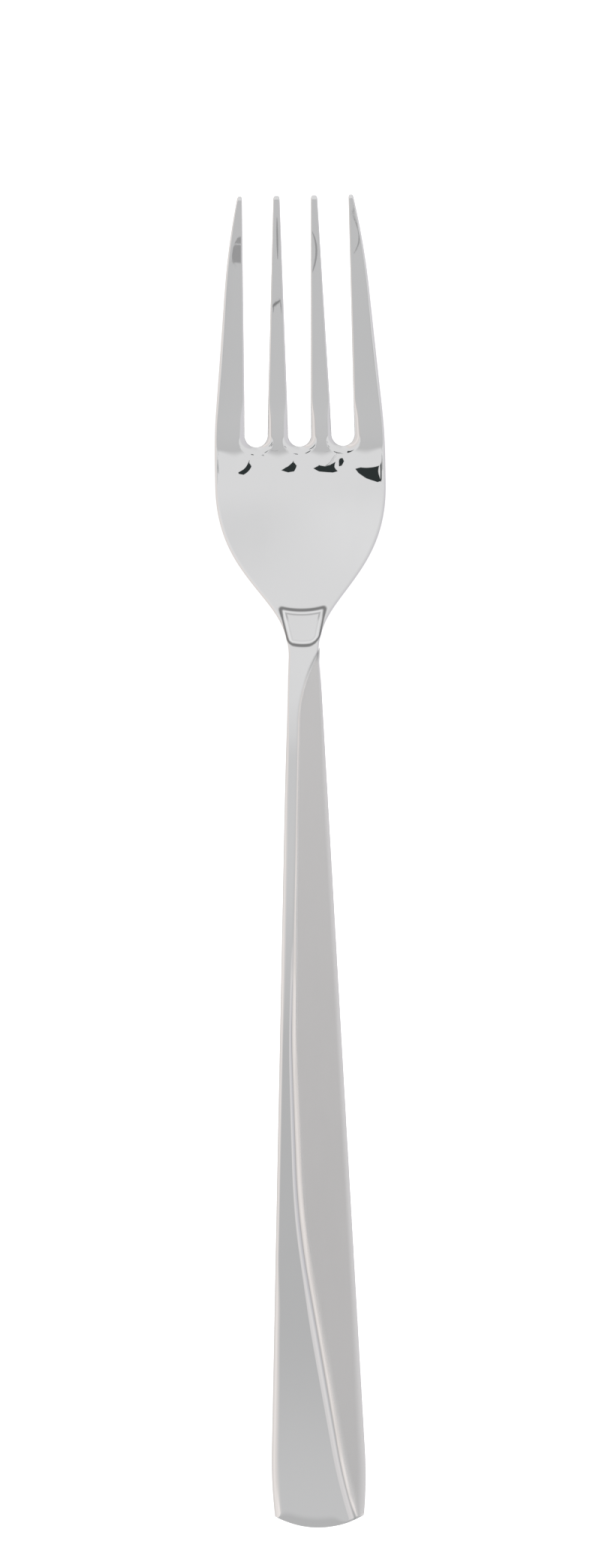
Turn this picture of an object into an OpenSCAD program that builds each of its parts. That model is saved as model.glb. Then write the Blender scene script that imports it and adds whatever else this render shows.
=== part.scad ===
// Four-tined dinner fork in stainless steel, lying face up on a table.
// X runs across the head, +Y towards the tine points, +Z up.
// The origin is on the table, under the middle of the fork's length and width.
// A real fork like this is one forging. The nodes are its zones, which meet face to face on flat cuts.

/* [Overall] */
// Length over all, from the handle's end to the tine points
fork_length = 205; // [195:1:215]
// Width over the outer tines, at their roots
head_width = 26.6; // [25:0.2:28]

/* [Head] */
// Length of a slot, from its round bottom to the points
slot_length = 38; // [35:0.5:40]
// Width of a slot at its round bottom
slot_root_w = 3.4; // [3:0.1:3.8]
// Width of a slot at the points
slot_tip_w = 4.7; // [4.5:0.1:4.8]
// Distance between slot axes at their round bottoms
slot_pitch_root = 6.7; // [6.5:0.1:6.9]
// Distance between slot axes at the points
slot_pitch_tip = 5.75; // [5.7:0.05:5.85]
// Inward slope of the head's sides, from the widest place up to the points
side_taper = 0.095; // [0.09:0.005:0.1]
// How far the palm's edges stand above its middle, at the widest place
palm_dish = 0.9; // [0.4:0.1:1.2]

/* [Handle] */
// Width of the neck, where the handle starts
neck_w = 5; // [4.6:0.1:6]
// Width of the handle near its end
handle_end_w = 14.6; // [13:0.2:16]
// Radius of the handle's round end, seen from above
end_radius = 13.5; // [11:0.5:16]
// Thickness of the raised satin panel
panel_t = 0.8; // [0.75:0.05:1]
// Width of the polished strip along the left edge, at its narrowest
strip_w = 1.85; // [1.7:0.05:2.2]
// Half width of the groove beside the panel
groove_half_w = 0.45; // [0.3:0.05:0.5]
// Depth of the groove below the strip beside it
groove_depth = 0.2; // [0.1:0.05:0.3]
// How far the polished strip slopes down towards the groove
strip_fall = 0.33; // [0:0.03:0.39]

/* [Bends] */
// Slope of the palm, down from the neck
palm_angle = 27; // [22:0.5:30]
// Slope of the tines, up to the points
tine_angle = 16.5; // [12:0.5:20]
// Length of the handle's flat rest on the table
rest_length = 22; // [18:1:26]

/* [Hidden] */

polished_colour = "#d8d8d8";
satin_colour = "#bab9b9";

// Places along the fork
tip_y = fork_length / 2;
slot_y = tip_y - slot_length + slot_root_w / 2;
widest_y = tip_y - slot_length - 2.5;
palm_start_y = widest_y - 19.5;
joint_y = widest_y - 30;
crest_y = joint_y + 4.5;
palm_low_y = widest_y - 12.5;
root_y = widest_y - 0.5;
end_y = -tip_y + 3;
rest_y = -tip_y + rest_length;
head_half = head_width / 2;
neck_half = neck_w / 2;

// Where the shoulder's curve ends, and how far it is pulled along the axis there and at the neck
shoulder_y = widest_y - 3.5;
shoulder_pull = 14.7;
neck_pull = 9.5;

// Length over which the sides turn inwards, and the curve that narrows them further near the points
side_ease = 8;
point_curve_y = tip_y - 14.5;
point_curve = 0.0045;

// Thickness of the steel along the fork: [place, thickness]
thickness_at = [
    [-tip_y, 2.6], [rest_y, 2.8], [joint_y - 12, 3.5], [joint_y, 3.8], [crest_y, 3.8],
    [palm_start_y + 2, 2.7], [widest_y, 2.2], [slot_y + 2, 2.1], [tip_y, 1.15]
];

// Edge radius along the fork: [place, radius]
edge_at = [
    [-tip_y, 0.6], [joint_y - 10, 0.7], [joint_y, 1.2], [crest_y + 2, 1.2], [palm_start_y + 4, 0.7],
    [slot_y, 0.55], [tip_y, 0.3]
];

// Sag of the cross section: [place, rise of the edges over the middle at the full head width]
dish_at = [
    [palm_start_y - 4, 0], [widest_y - 6, palm_dish], [slot_y, palm_dish], [tip_y, 0.6 * palm_dish]
];

// Slope of the middle line at each bend. The handle's slope brings the palm down to the table.
rise_length = 40;
palm_slope = tan(palm_angle);
tine_slope = tan(tine_angle);
bend_y = [
    -tip_y, rest_y, rest_y + rise_length, joint_y - 2, crest_y + 8,
    palm_low_y, root_y, slot_y, tip_y - 12.5, tip_y
];
handle_shape = [0, 0, 0.7, 1, 0, 0, 0, 0, 0, 0];
head_shape = [0, 0, 0, 0, -1, -0.95, 0, 0, 0, 0];
tine_shape = [0, 0, 0, 0, 0, 0, 0.85, 1.05, 1.1, 1.05];
function run(shape, last) =
    last == 0 ? 0
    : run(shape, last - 1) + (shape[last - 1] + shape[last]) / 2 * (bend_y[last] - bend_y[last - 1]);

// The bowl's lowest place, where the eased slope between these two bends is nought
low_index = 5;
fall_slope = palm_slope * head_shape[low_index];
rise_slope = tine_slope * tine_shape[low_index + 1];
knee_u = 0.5 - sin(asin(1 + 2 * fall_slope / (rise_slope - fall_slope)) / 3);
knee_y = mix(palm_low_y, root_y, knee_u);
knee_fall = (root_y - palm_low_y) * eased_rise(fall_slope, rise_slope, knee_u);
end_t = thickness_at[0][1];
rest_cut = 0.12;
start_z = end_t / 2 - rest_cut;
head_fall = palm_slope * run(head_shape, low_index) + knee_fall;
handle_slope = (thickness(knee_y) / 2 - start_z - head_fall) / run(handle_shape, low_index);
bend = [for (i = [0 : len(bend_y) - 1])
    handle_slope * handle_shape[i] + palm_slope * head_shape[i] + tine_slope * tine_shape[i]];

// Round steps of an edge, and points across the flat of a section
edge_steps = 3;
flat_steps = 6;

// Eased value of a [place, value] list
function ease(u) = u * u * (3 - 2 * u);
function span_of(list, y, i = 0) = i >= len(list) - 2 || y < list[i + 1][0] ? i : span_of(list, y, i + 1);
function share(a, b, y) = min(1, max(0, (y - a) / (b - a)));
function along(list, y) =
    let (i = span_of(list, y), u = ease(share(list[i][0], list[i + 1][0], y)))
    list[i][1] + (list[i + 1][1] - list[i][1]) * u;
function mix(a, b, u) = a + (b - a) * u;

// Height of the middle line: the slope eases from bend to bend, so its sum has a closed form
function eased_rise(from, to, u) = from * u + (to - from) * (pow(u, 3) - pow(u, 4) / 2);
function bend_span(y, i = 0) = i >= len(bend_y) - 2 || y < bend_y[i + 1] ? i : bend_span(y, i + 1);
function bend_z(last) = start_z + run(bend, last);
function middle_z(y) =
    let (
        i = bend_span(y),
        length = bend_y[i + 1] - bend_y[i],
        u = share(bend_y[i], bend_y[i + 1], y)
    )
    bend_z(i) + length * eased_rise(bend[i], bend[i + 1], u);
function thickness(y) = along(thickness_at, y);
function edge_radius(y) = along(edge_at, y);
function dish(y, x) = along(dish_at, y) * pow(x / head_half, 2);

// Outline of the head: a curve from the neck to the full width, then sides that taper to the points
function bezier(a, b, c, d, u) =
    pow(1 - u, 3) * a + 3 * pow(1 - u, 2) * u * b + 3 * (1 - u) * pow(u, 2) * c + pow(u, 3) * d;
function shoulder(u) = bezier(
    [neck_half, joint_y], [neck_half, joint_y + neck_pull],
    [head_half, shoulder_y - shoulder_pull], [head_half, shoulder_y], u);
function shoulder_u(y, low = 0, high = 1, turns = 24) =
    let (middle = (low + high) / 2)
    turns == 0 ? middle
    : shoulder(middle)[1] < y ? shoulder_u(y, middle, high, turns - 1)
    : shoulder_u(y, low, middle, turns - 1);
function side_drop(s) =
    s < side_ease ? side_taper * pow(s, 2) / (2 * side_ease) : side_taper * (s - side_ease / 2);
function head_side(y) =
    y < shoulder_y ? shoulder(shoulder_u(y))[0]
    : head_half - side_drop(max(0, y - widest_y)) - point_curve * pow(max(0, y - point_curve_y), 2);

// Slots: three tapered gaps with round bottoms
function slot_share(y) = share(slot_y, tip_y, y);
function slot_axis(k, y) = k * mix(slot_pitch_root, slot_pitch_tip, slot_share(y));
function slot_half(y) = mix(slot_root_w, slot_tip_w, slot_share(y)) / 2;
function tine_left(i, y) = i == 0 ? -head_side(y) : slot_axis(i - 2, y) + slot_half(y);
function tine_right(i, y) = i == 3 ? head_side(y) : slot_axis(i - 1, y) - slot_half(y);

// Outline of the handle: straight flanks that draw in a little before the round end
taper_end_y = -tip_y + 10;
barrel_y = -tip_y + 12;
barrel = 0.007;
function handle_side(y) =
    mix(neck_half, handle_end_w / 2, (joint_y - y) / (joint_y - taper_end_y))
    - barrel * pow(max(0, barrel_y - y), 2);
function end_arc(y) = sqrt(max(0, pow(end_radius, 2) - pow(-tip_y + end_radius - y, 2)));
function end_side(y) = min(handle_side(y), end_arc(y));

// The groove leaves the right edge at the neck, follows the left edge, and leaves it again in two turns
neck_gap = 0.6;
end_gap = 2.0;
neck_sweep_y = joint_y - 10;
first_turn_y = -22.5;
first_turn = 10;
first_slope = 0.055;
end_turn_y = -46;
end_turn = 18;
neck_sweep = (neck_w - strip_w - neck_gap) / pow(joint_y - neck_sweep_y, 2);

// A turn is a parabola that runs on as a straight line. The second turn brings the groove to the end's corner.
function swept(s, turn) = s < turn ? pow(max(0, s), 2) / (2 * turn) : s - turn / 2;
function first_sweep(y) = first_slope * swept(first_turn_y - y, first_turn);
end_strip = 2 * handle_side(end_y) - end_gap;
end_slope = (end_strip - strip_w - first_sweep(end_y)) / swept(end_turn_y - end_y, end_turn);
function strip(y) =
    strip_w + neck_sweep * pow(max(0, y - neck_sweep_y), 2)
    + first_sweep(y) + end_slope * swept(end_turn_y - y, end_turn);
function groove_x(y) = strip(y) - handle_side(y);

// Fall of the polished strip towards the groove: [place, fall]
full_fall_y = first_turn_y - 40;
fall_at = [[full_fall_y, strip_fall], [first_turn_y, 0.6 * strip_fall], [joint_y - 8, 0]];
function fall(y) = along(fall_at, y);

// A round corner of a section, from one angle through a quarter turn
function corner(x, z, r, from) =
    [for (k = [0 : edge_steps]) let (a = from + 90 * k / edge_steps) [x + r * cos(a), z + r * sin(a)]];

// A slab's section from x0 to x1, t thick: over the top from right to left, and back underneath
function slab(x0, x1, t, edge) =
    let (
        r = min(edge, 0.42 * (x1 - x0), 0.42 * t),
        across = [for (k = [1 : flat_steps - 1]) mix(x1 - r, x0 + r, k / flat_steps)]
    )
    concat(
        corner(x1 - r, t / 2 - r, r, 0),
        [for (x = across) [x, t / 2]],
        corner(x0 + r, t / 2 - r, r, 90),
        corner(x0 + r, r - t / 2, r, 180),
        [for (k = [flat_steps - 2 : -1 : 0]) [across[k], -t / 2]],
        corner(x1 - r, r - t / 2, r, 270)
    );

// A section stood up across the fork at y, on the middle line and with the dish of the head
function ring(y, section) = [for (p = section) [p[0], y, middle_z(y) + dish(y, p[0]) + p[1]]];

// A closed skin over rings of equal length. A slab's caps are strips from top to bottom, others fans.
module loft(rings, slab_caps) {
    n = len(rings[0]);
    last = len(rings) - 1;
    sides = [for (i = [0 : last - 1], j = [0 : n - 1])
        let (a = i * n + j, b = i * n + (j + 1) % n)
        each [[a, b, b + n], [a, b + n, a + n]]];
    strips = [for (j = [0 : n / 2 - 2]) [j, j + 1, n - 2 - j, n - 1 - j]];
    fan = [for (j = [0 : n - 1]) j];
    top = slab_caps ? strips : [fan];
    first_cap = [for (face = top) [for (k = [len(face) - 1 : -1 : 0]) face[(k + 1) % len(face)]]];
    last_cap = [for (face = top) [for (j = face) j + last * n]];
    points = [for (r = rings) each r];
    polyhedron(points, concat(sides, first_cap, last_cap), convexity = 6);
}

// Evenly spread places from a to b
function places(a, b, count) = [for (k = [0 : count]) mix(a, b, k / count)];

// One tine: a tapered bar with rounded edges, from the slots' round bottoms to its blunt point
tine_steps = 16;
point_length = 0.7;
function point_scale(y) = sqrt(1 - 0.8 * pow(share(tip_y - point_length, tip_y, y), 2));
function tine_section(i, y) =
    let (
        middle = (tine_left(i, y) + tine_right(i, y)) / 2,
        half = (tine_right(i, y) - tine_left(i, y)) / 2 * point_scale(y)
    )
    slab(middle - half, middle + half, thickness(y) * point_scale(y), edge_radius(y));
module tine(i) {
    stations = concat(
        places(slot_y, tip_y - point_length, tine_steps),
        places(tip_y - point_length / 2, tip_y, 2));
    color(polished_colour) loft([for (y = stations) ring(y, tine_section(i, y))], true);
}

// The whole width of the head or the neck at y
function plate(y) = slab(-head_side(y), head_side(y), thickness(y), edge_radius(y));

// The palm: the dished plate from the neck to the tine roots, with the round bottoms of the three slots
palm_steps = 16;
module palm() {
    stations = places(palm_start_y, slot_y, palm_steps);
    color(polished_colour) difference() {
        loft([for (y = stations) ring(y, plate(y))], true);
        for (k = [-1 : 1])
            translate([slot_axis(k, slot_y), slot_y, -1])
                cylinder(d = slot_root_w, h = 8, $fn = 48);
    }
}

// The neck: the thick, narrow bend between the palm and the handle
neck_steps = 10;
module neck() {
    stations = places(joint_y, palm_start_y, neck_steps);
    color(polished_colour) loft([for (y = stations) ring(y, plate(y))], true);
}

// The handle and its panel share these places and sections, so that they meet face to face
handle_places = concat(
    places(end_y, first_turn_y, 18),
    places(first_turn_y + 4, neck_sweep_y, 6),
    places(neck_sweep_y + 2, joint_y, 4));
function groove_half(y) = min(groove_half_w, 0.4 * (handle_side(y) - groove_x(y)));
function panel_edge(y) = min(edge_radius(y), panel_t - 0.1, 0.4 * (handle_side(y) - groove_x(y)));
function core_section(y) =
    let (half = handle_side(y), t = thickness(y), r = edge_radius(y), x = groove_x(y))
    concat(
        [[x, t / 2 - panel_t], [x, t / 2 - fall(y) - groove_depth], [x - groove_half(y), t / 2 - fall(y)]],
        corner(-half + r, t / 2 - r, r, 90),
        corner(-half + r, r - t / 2, r, 180),
        corner(half - r, r - t / 2, r, 270),
        [[half, t / 2 - panel_t]]
    );
function panel_section(y) =
    let (half = handle_side(y), t = thickness(y), r = panel_edge(y), x = groove_x(y))
    concat(
        [[x, t / 2 - panel_t], [half, t / 2 - panel_t]],
        corner(half - r, t / 2 - r, r, 0),
        [[x + groove_half(y), t / 2], [x, t / 2 - fall(y) - groove_depth]]
    );
module below_table() translate([-20, -tip_y - 1, -5]) cube([40, fork_length, 5]);

// The handle: a tapered bar with a polished strip on its left and a seat for the panel on its right
module handle() {
    color(polished_colour) difference() {
        loft([for (y = handle_places) ring(y, core_section(y))], false);
        below_table();
    }
}

// The raised panel with a satin finish, beside the groove
module satin_panel() {
    color(satin_colour) loft([for (y = handle_places) ring(y, panel_section(y))], false);
}

// The handle's end: a round nose, with its edges rolled over
nose_steps = 10;
roll_length = 0.9;
function nose_y(k) = mix(end_y, -tip_y, sin(90 * k / nose_steps));
function roll(y) = 1 - 0.45 * pow(1 - share(-tip_y, -tip_y + roll_length, y), 2);
module handle_end() {
    stations = [for (k = [nose_steps : -1 : 0]) nose_y(k)];
    color(polished_colour) difference() {
        loft([for (y = stations)
            let (half = max(0.6, end_side(y)))
            ring(y, slab(-half, half, thickness(y) * roll(y), edge_radius(y)))], true);
        below_table();
    }
}

tine(0);  // tine_1
tine(1);  // tine_2
tine(2);  // tine_3
tine(3);  // tine_4
palm();
neck();
handle();
satin_panel();
handle_end();
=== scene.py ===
import math

import bpy
import numpy as np
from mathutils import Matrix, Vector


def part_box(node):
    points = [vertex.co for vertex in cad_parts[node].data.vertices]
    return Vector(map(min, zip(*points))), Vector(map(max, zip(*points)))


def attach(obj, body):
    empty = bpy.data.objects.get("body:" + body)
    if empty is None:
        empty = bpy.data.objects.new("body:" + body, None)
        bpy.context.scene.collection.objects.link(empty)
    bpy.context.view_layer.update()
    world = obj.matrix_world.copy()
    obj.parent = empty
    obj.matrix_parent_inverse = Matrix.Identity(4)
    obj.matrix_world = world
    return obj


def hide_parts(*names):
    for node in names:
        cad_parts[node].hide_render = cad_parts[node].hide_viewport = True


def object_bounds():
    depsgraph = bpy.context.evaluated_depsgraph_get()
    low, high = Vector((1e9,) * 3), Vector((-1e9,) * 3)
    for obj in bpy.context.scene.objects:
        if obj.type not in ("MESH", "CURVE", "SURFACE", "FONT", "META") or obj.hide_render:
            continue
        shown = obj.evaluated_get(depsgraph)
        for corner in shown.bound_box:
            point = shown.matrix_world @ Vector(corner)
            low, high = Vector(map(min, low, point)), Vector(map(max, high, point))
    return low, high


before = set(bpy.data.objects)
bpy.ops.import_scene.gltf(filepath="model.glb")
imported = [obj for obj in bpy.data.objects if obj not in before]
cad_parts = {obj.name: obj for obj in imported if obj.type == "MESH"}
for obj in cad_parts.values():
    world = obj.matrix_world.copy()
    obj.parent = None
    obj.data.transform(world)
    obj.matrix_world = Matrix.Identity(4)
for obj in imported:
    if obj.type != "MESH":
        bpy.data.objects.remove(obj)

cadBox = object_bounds()


def nodeBox(name):  # lowest and highest corner of a CAD node, in millimetres
    return [np.array(corner) * 1000 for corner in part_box(name)]


headHalf, tipY, _ = np.array(cadBox[1]) * 1000    # half the fork's width and length
slotY = nodeBox("palm")[1][1]
palmStartY = nodeBox("palm")[0][1]
jointY = nodeBox("neck")[0][1]
endY = nodeBox("handle")[0][1]
print("frame loaded: fork", round(2 * tipY, 1), "mm long")

# Everything below is worked out in millimetres and turned into metres when a mesh is made.

bends = {
    "palmAngle": 27.0,      # fall of the palm from the neck, degrees
    "tineAngle": 16.5,      # rise of the tines to the points, degrees
    "restLength": 22.0,     # flat part of the handle on the table
    "riseLength": 40.0,     # over which the handle starts to rise
    "restCut": 0.12,        # steel ground off the underside at the rest
    "endThickness": 2.6,
}

head = {
    "widestBack": 4.2,      # widest place, back from the slots' round bottoms' centres
    "neckWidth": 5.0,
    "shoulderBack": 3.5,    # end of the shoulder curve, back from the widest place
    "neckPull": 9.5,        # pull of the shoulder curve at the neck
    "shoulderPull": 14.7,   # and at its end
    "sideTaper": 0.095,     # inward slope of the sides towards the points
    "sideEase": 8.0,        # over which the sides turn inwards
    "pointCurve": 0.0045,   # further narrowing near the points
    "pointCurveBack": 14.5,
    "dish": 0.9,            # rise of the palm's edges over its middle
    "tipDish": 0.6,         # share of it left at the points
    "slotRoot": 3.4,
    "slotTip": 4.7,
    "pitchRoot": 6.7,
    "pitchTip": 5.75,
    "crown": 0.02,          # how much each tine root is crowned between the slots
    "crownLength": 4.5,     # over which the crown grows
    "pointLength": 0.7,
}

handle = {
    "endWidth": 14.6,
    "endRadius": 13.5,
    "fullBack": 10.0,       # place of the full width, back from the end
    "barrel": 0.007,        # how fast the flanks draw in before the end
    "barrelBack": 12.0,     # and where that starts
    "stripWidth": 1.85,
    "neckGap": 0.6,         # panel width left at the neck
    "endGap": 2.0,          # and at the end
    "firstTurnY": -22.5,    # where the groove starts to leave the left flank
    "firstTurn": 10.0,      # over which it turns
    "firstSlope": 0.055,    # to run on with this slope
    "endTurnY": -46.0,      # where it turns again, to reach the end
    "endTurn": 18.0,
    "runOut": 2.0,          # how far past the neck's joint the groove runs out
    "leftSideY": (-11.0, -26.0),    # between which its left side grows deep
    "leftLeast": 0.05,      # share of the depth on that side at the neck
    "rightMost": 0.6,       # share of the panel that its right side takes at most
    "stripSlope": 0.03,     # fall of the polished strip towards the groove
    "stripEdge": 0.6,       # distance from the left flank at which that fall starts
    "stripFrom": (2.0, 14.0),   # distances below the neck over which it sets in
    "stripEaseY": -70.0,    # where it starts to ease
    "stripEase": 0.5,       # by this share at the end
    "panelDepth": 0.8,
    "panelLeast": 0.05,     # width that the panel counts for at least
    "satinMost": (0.35, 0.55),  # shares of the panel's width for the satin's start and full finish
    "rightSatin": 0.5,      # how satin the right flank's round edge stays at its rim
    "rightDrop": 0.16,      # and its height at most
    "rightFrom": 6.0,       # distance below the neck over which it sets in
    "endRoll": 2.2,         # length over which the end rolls over
    "endDrop": 0.75,
    "cornerRoll": 0.2,      # share of the roll left at the corners
    "leftCorner": (0.0, 2.2),   # distances from the left flank between which it grows
    "rightCorner": (2.5, 5.0),  # and from the right flank, left of the groove
    "endSatin": (0.5, 0.8),     # shares of the roll between which the satin starts
    "grooveShadeWidth": 0.2,       # of the painted shade line in the groove
    "wedge": 2.0,           # strength of the painted shade on the panel's point at the neck
    "wedgeY": (-1.2, 0.6),  # from the neck's joint, between which it grows
    "wedgeEdge": -0.05,     # from the groove
    "markTop": 1.2,         # how far past the joint the groove's painted shade and the satin finish reach
}

padLine = {                 # pressed outline on the neck, with painted shade lines and a painted highlight line along it
    "topY": 39.0, "topHalf": 3.35,
    "lowY": 33.65, "lowHalf": 2.15,
    "topBow": 0.45,         # how far the ends of the upper line turn up
    "lowBow": 0.35,         # and of the lower one
    "topCorner": 0.5,
    "lowCorners": (0.6, 1.3),   # left and right
    "lean": 0.97,           # turns a distance across into one square to the sides
    "width": 0.3,
    "depth": 0.03,
    "darkAt": -0.05,        # painted shade line: its place inside the outline, half width at the sides and at the ends
    "darkWidth": (0.16, 0.27),
    "endFrom": (1.2, 2.6),  # distances from the middle over which it widens
    "pale": 0.16,           # painted highlight line inside it: strength, place, half width
    "paleAt": 0.4,
    "paleWidth": 0.12,
    "inner": (0.08, 0.5),   # second painted shade line: strength all round, and at the top
    "innerFrom": (0.8, 1.8),
    "innerAt": 0.66,
    "innerWidth": 0.14,
    "flatTop": 4,           # power that makes the painted shade lines flat across
}

edges = {                   # rounded edges
    "topMost": 0.42,        # share of the thickness that they take at most, above and below
    "underMost": 0.3,
    "underWidth": 0.5,
    "underHeight": 0.4,
    "rollFrom": (4.0, 30.0),    # distances below the neck over which the ellipse turns into a roll
    "tineMost": 0.44,       # share of a tine's width
    "pointClose": 0.8,      # how far the blunt points close
}

widestY = slotY - head["widestBack"]
crestY = jointY + 4.5
palmLowY = widestY - 12.5
rootY = widestY - 0.5
restY = -tipY + bends["restLength"]
neckHalf = head["neckWidth"] / 2
slotRadius = head["slotRoot"] / 2
slotBottomY = slotY - slotRadius
arcY = endY + 2             # past it the long sides alone make the outline
noseY = endY + 4            # past it nothing of the end's roll is left
tableY = jointY - 10        # below it the underside is kept over the table
noLimit = 99.0


def eased(u):  # u squared times (3 - 2u): starts and ends level
    return u * u * (3 - 2 * u)


def share(a, b, y):  # how far y has come from a to b, kept between 0 and 1
    return np.clip((y - a) / (b - a), 0, 1)


def mix(a, b, u):  # a, plus the share u of the way to b
    return a + (b - a) * u


def spanOf(places, y):  # number of the stretch between two places that holds y
    return np.clip(np.searchsorted(places, y, side="right") - 1, 0, len(places) - 2)


def along(table, y):  # value at y, eased from one (place, value) pair to the next
    places, values = np.array(table).T
    i = spanOf(places, y)
    return mix(values[i], values[i + 1], eased(share(places[i], places[i + 1], y)))


thicknessTable = [
    (-tipY, bends["endThickness"]), (restY, 2.8), (jointY - 12, 3.5), (jointY, 3.8), (crestY, 3.8),
    (palmStartY + 2, 2.7), (widestY, 2.2), (slotY + 2, 2.1), (tipY, 1.15),
]
dishTable = [
    (palmStartY - 4, 0), (widestY - 6, head["dish"]), (slotY, head["dish"]),
    (tipY, head["tipDish"] * head["dish"]),
]
sideWidthTable = [                  # width of the rounded edge along the outline
    (-tipY, 1.65), (-86, 1.55), (-70, 1.32), (-60, 0.68), (-30, 0.68), (-12, 1.0), (9, 0.9),
    (jointY - 4, 0.5), (crestY, 0.6), (palmStartY, 0.55), (widestY, 0.7), (slotY + 8, 0.65), (tipY, 0.3),
]
rightWidthTable = [                 # and along the handle's right flank
    (-tipY, 1.5), (-60, 1.0), (9, 0.9), (jointY - 6, 0.5),
]
sideHeightTable = [                 # its height
    (-tipY, 0.44), (-86, 0.42), (-70, 0.36), (-60, 0.24), (-30, 0.24), (-12, 0.27), (9, 0.27),
    (jointY - 4, 0.6), (crestY, 0.9), (palmStartY, 0.6), (widestY, 0.6), (slotY + 8, 0.55), (tipY, 0.3),
]
leftReachTable = [                  # width of the groove's rolled side towards the strip
    (-74, 1.1), (-60, 0.75), (-45, 0.6), (-20, 0.4), (10, 0.3), (jointY, 0.25),
]
rightReachTable = [                 # and towards the panel
    (-70, 1.6), (-56, 0.95), (-36, 0.95), (-19, 0.56), (-5, 0.3), (10, 0.3), (jointY, 0.3),
]
rightPowerTable = [                 # how round that side is
    (-100, 1.5), (-90, 2.0), (-70, 2.0), (-58, 1.25), (-30, 1.25), (-19, 1.1), (0, 1.1), (12, 1.5),
]
satinStartTable = [                 # distance right of the groove at which the satin starts
    (-74, 0.25), (-62, 0.5), (-50, 0.72), (-36, 0.7), (-19, 0.5), (-5, 0.3), (10, 0.21), (jointY, 0.17),
]
satinEndTable = [                   # and from which it is full
    (-74, 1.5), (-60, 1.3), (-50, 1.1), (-36, 1.0), (-19, 0.75), (-5, 0.42), (10, 0.34), (jointY, 0.3),
]
depthTable = [                      # the groove's depth
    (-tipY, 0.14), (-75, 0.2), (-50, 0.24), (-30, 0.22), (-5, 0.07), (12, 0.05),
    (jointY - 4, 0.05), (jointY, 0),
]
grooveShadeTable = [                       # strength of the painted shade line in it
    (-50, 1.0), (-10, 0.5), (20, 0.3), (jointY - 5, 0.35), (jointY, 1.5),
]
slotWidthTable = [                  # width of the rounded edge along the slots
    (slotBottomY, 1.3), (slotY + 2, 1.0), (slotY + 5.5, 0.36), (tipY, 0.2),
]
slotHeightTable = [                 # its height
    (slotBottomY, 0.75), (slotY + 2, 0.65), (slotY + 5.5, 0.28), (tipY, 0.2),
]

# Side profile: the slope eases from bend to bend, so its sum has a closed form.
bendY = np.array([
    -tipY, restY, restY + bends["riseLength"], jointY - 2, crestY + 8,
    palmLowY, rootY, slotY, tipY - 12.5, tipY,
])
handleShape = np.array([0, 0, 0.7, 1, 0, 0, 0, 0, 0, 0])
headShape = np.array([0, 0, 0, 0, -1, -0.95, 0, 0, 0, 0])
tineShape = np.array([0, 0, 0, 0, 0, 0, 0.85, 1.05, 1.1, 1.05])
stretch = np.diff(bendY)
lowIndex = 5                        # the bowl's lowest place lies after this bend


def runOf(shape):  # sum of a slope shape up to each bend, by trapezoids
    return np.concatenate(([0], np.cumsum((shape[:-1] + shape[1:]) / 2 * stretch)))


def easedRise(start, end, u):  # height gained by a slope that eases from start to end
    return start * u + (end - start) * (u**3 - u**4 / 2)


palmSlope = math.tan(math.radians(bends["palmAngle"]))
tineSlope = math.tan(math.radians(bends["tineAngle"]))
fallSlope = palmSlope * headShape[lowIndex]
riseSlope = tineSlope * tineShape[lowIndex + 1]
# The bowl is lowest where the slope crosses nought, a root of the easing's cubic.
kneeShare = 0.5 - math.sin(math.asin(1 + 2 * fallSlope / (riseSlope - fallSlope)) / 3)
kneeY = mix(palmLowY, rootY, kneeShare)
kneeFall = stretch[lowIndex] * easedRise(fallSlope, riseSlope, kneeShare)
startZ = bends["endThickness"] / 2 - bends["restCut"]
headFall = palmSlope * runOf(headShape)[lowIndex] + kneeFall
# The handle rises just enough for the bowl's underside to reach the table there.
handleSlope = (along(thicknessTable, kneeY) / 2 - startZ - headFall) / runOf(handleShape)[lowIndex]
slopes = handleSlope * handleShape + palmSlope * headShape + tineSlope * tineShape
bendZ = startZ + runOf(slopes)


def middleHeight(y):  # height of the steel's middle line over the table
    i = spanOf(bendY, y)
    u = share(bendY[i], bendY[i + 1], y)
    return bendZ[i] + stretch[i] * easedRise(slopes[i], slopes[i + 1], u)


# Outline of the head: a cubic curve from the neck to the full width, then sides that taper to the points.
curveSteps = 2000
curveU = np.linspace(0, 1, curveSteps + 1)
curveV = 1 - curveU
curveWeights = np.array([curveV**3, 3 * curveV**2 * curveU, 3 * curveV * curveU**2, curveU**3])
shoulderX = np.array([neckHalf, neckHalf, headHalf, headHalf]) @ curveWeights
shoulderEnd = widestY - head["shoulderBack"]
shoulderPlaces = [jointY, jointY + head["neckPull"], shoulderEnd - head["shoulderPull"], shoulderEnd]
shoulderY = np.array(shoulderPlaces) @ curveWeights


def headSide(y):  # half width of the head: the cubic curve, then a taper that eases in, less a parabola
    s, ease = np.maximum(0, y - widestY), head["sideEase"]
    taper = head["sideTaper"] * np.where(s < ease, s**2 / (2 * ease), s - ease / 2)
    narrow = head["pointCurve"] * np.maximum(0, y - tipY + head["pointCurveBack"])**2
    return np.where(y < shoulderEnd, np.interp(y, shoulderY, shoulderX), headHalf - taper - narrow)


def handleSide(y):  # straight flanks that draw in a little before the end
    straight = mix(neckHalf, handle["endWidth"] / 2, (jointY - y) / (jointY + tipY - handle["fullBack"]))
    return straight - handle["barrel"] * np.maximum(0, -tipY + handle["barrelBack"] - y)**2


def endArc(y):  # half width of the round end, a circle's arc
    radius = handle["endRadius"]
    return np.sqrt(np.maximum(0, radius**2 - np.minimum(0, y + tipY - radius)**2))


def flank(y):  # half width between the fork's long sides
    return np.where(y > jointY, headSide(y), handleSide(y))


def outline(y):  # half width of the fork at y
    return np.minimum(flank(y), np.where(y < arcY, endArc(y), noLimit))


def slotAxis(k, y):  # middle of a slot: k times a pitch that narrows towards the points
    return k * mix(head["pitchRoot"], head["pitchTip"], share(slotY, tipY, y))


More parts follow.
